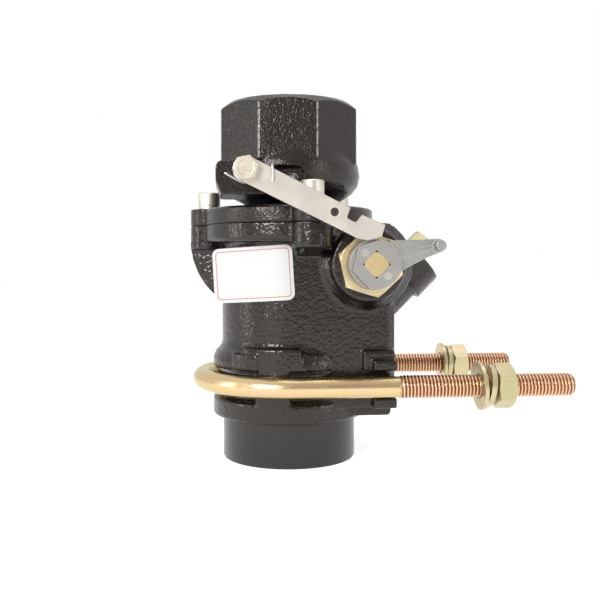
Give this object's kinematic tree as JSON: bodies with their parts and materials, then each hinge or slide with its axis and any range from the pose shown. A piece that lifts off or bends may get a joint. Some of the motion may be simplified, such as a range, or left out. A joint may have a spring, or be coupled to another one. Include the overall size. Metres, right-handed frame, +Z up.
{
  "type": "shear valve",
  "caption": "Emergency shear valve for a fuel pipe: cast body with octagon outlet, stem-turned flapper, latch lever and link, and a U-bolt that holds it to a bar.",
  "frame": {"origin": "centre of the inlet's bottom face, on the flow axis", "axes": "+Z up the flow axis towards the outlet, -Y towards the lever side, +X towards the side chamber and the U-bolt's threaded legs"},
  "size_m": [0.1663, 0.1083, 0.163],
  "materials": {
    "black_paint": "semi-gloss black paint on rough cast iron",
    "machined_brass": "turned and milled, lightly dulled",
    "yellow_zinc": "yellow chromate zinc with a faint iridescence",
    "bright_zinc": "clear zinc plate",
    "grey_casting": "grainy die casting",
    "satin_steel": "satin plated sheet",
    "plain_steel": "machined",
    "spring_steel": "drawn wire",
    "fusible_alloy": "dull soft alloy",
    "copper_washer": "soft copper",
    "rubber": "smooth nitrile",
    "packing_plastic": "soft white packing",
    "label_paper": "blank white sticker with a thin red border"
  },
  "bodies": {
    "valve": {"lower_body": "black_paint", "upper_body": "black_paint", "seat_ring": "machined_brass", "flange_seal": "rubber", "flange_screws": "bright_zinc", "flange_lock_washers": "bright_zinc", "packing_nut": "machined_brass", "packing_follower": "plain_steel", "stem_packing": "packing_plastic", "stem_bush": "machined_brass", "test_plug": "bright_zinc", "test_plug_washer": "copper_washer", "label": "label_paper", "link_bolt": "yellow_zinc", "link_spacer": "bright_zinc", "link_spring": "spring_steel", "ubolt": "yellow_zinc", "ubolt_flat_washers": "yellow_zinc", "ubolt_lock_washers": "yellow_zinc", "ubolt_nuts": "yellow_zinc"},
    "stem": {"stem": "machined_brass", "lever": "grey_casting", "hub_plate": "grey_casting", "fusible_plugs": "fusible_alloy", "flapper_arm": "plain_steel", "arm_pin": "plain_steel", "flapper_disc": "plain_steel", "flapper_seal": "rubber", "seal_plate": "plain_steel", "flapper_nut": "plain_steel", "closing_spring": "spring_steel"},
    "link": {"link_plate": "satin_steel"}
  },
  "joints": [
    {"name": "lever_turn", "type": "hinge", "parent": "valve", "child": "stem", "pos_m": [0.0312, 0, 0.0889], "axis": [0, -1, 0], "range_deg": [0, 88], "stiffness_Nm_per_rad": 0.4, "springref_deg": -28.65, "deforming": ["closing_spring"]},
    {"name": "link_swing", "type": "hinge", "parent": "valve", "child": "link", "pos_m": [-0.0219, -0.0528, 0.1274], "axis": [0, -1, 0], "range_deg": [0, 60], "stiffness_Nm_per_rad": 0.02, "springref_deg": -45.84, "deforming": ["link_spring"]}
  ]
}
